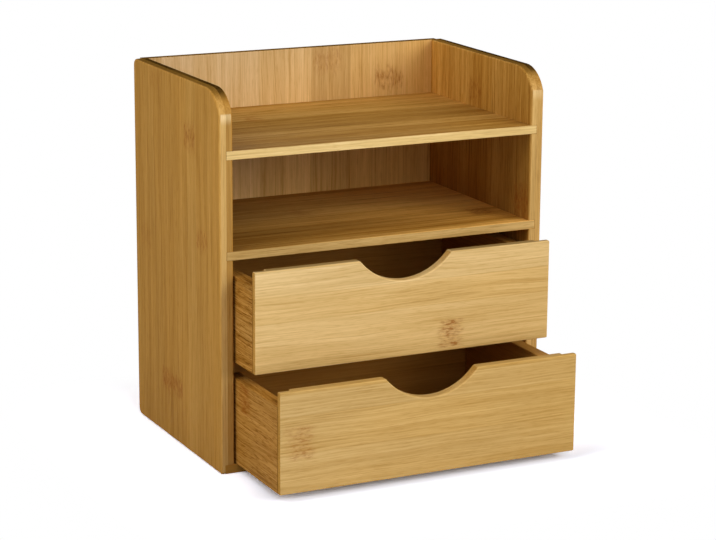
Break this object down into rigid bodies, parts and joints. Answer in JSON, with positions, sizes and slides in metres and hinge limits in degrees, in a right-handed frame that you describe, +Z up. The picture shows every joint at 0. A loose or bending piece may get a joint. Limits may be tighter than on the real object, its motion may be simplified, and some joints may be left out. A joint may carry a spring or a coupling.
{
  "type": "desktop mini drawers",
  "caption": "Bamboo desktop organiser: an open tray on top, an open compartment under it, and drawers with finger scoops below.",
  "frame": {"origin": "centre of the case's footprint, on the surface that it stands on", "axes": "+Z up; -Y to the front, where the drawers pull out; +X to the right, seen from the front"},
  "size_m": [0.2, 0.1855, 0.214],
  "materials": {
    "panel_bamboo": "satin",
    "back_bamboo": "satin",
    "shelf_bamboo": "satin",
    "front_bamboo": "satin",
    "drawer_bamboo": "satin",
    "bottom_bamboo": "satin"
  },
  "bodies": {
    "case": {"left_side_panel": "panel_bamboo", "right_side_panel": "panel_bamboo", "back_panel": "back_bamboo", "top_shelf": "shelf_bamboo", "middle_shelf": "shelf_bamboo", "drawer_divider": "shelf_bamboo", "base_panel": "shelf_bamboo"},
    "upper_drawer": {"upper_drawer_front": "front_bamboo", "upper_drawer_left_side": "drawer_bamboo", "upper_drawer_right_side": "drawer_bamboo", "upper_drawer_back": "drawer_bamboo", "upper_drawer_bottom": "bottom_bamboo"},
    "lower_drawer": {"lower_drawer_front": "front_bamboo", "lower_drawer_left_side": "drawer_bamboo", "lower_drawer_right_side": "drawer_bamboo", "lower_drawer_back": "drawer_bamboo", "lower_drawer_bottom": "bottom_bamboo"}
  },
  "joints": [
    {"name": "upper_drawer_slide", "type": "slide", "parent": "case", "child": "upper_drawer", "axis": [0, -1, 0], "range_m": [-0.026, 0.065]},
    {"name": "lower_drawer_slide", "type": "slide", "parent": "case", "child": "lower_drawer", "axis": [0, -1, 0], "range_m": [-0.0585, 0.0325]}
  ]
}
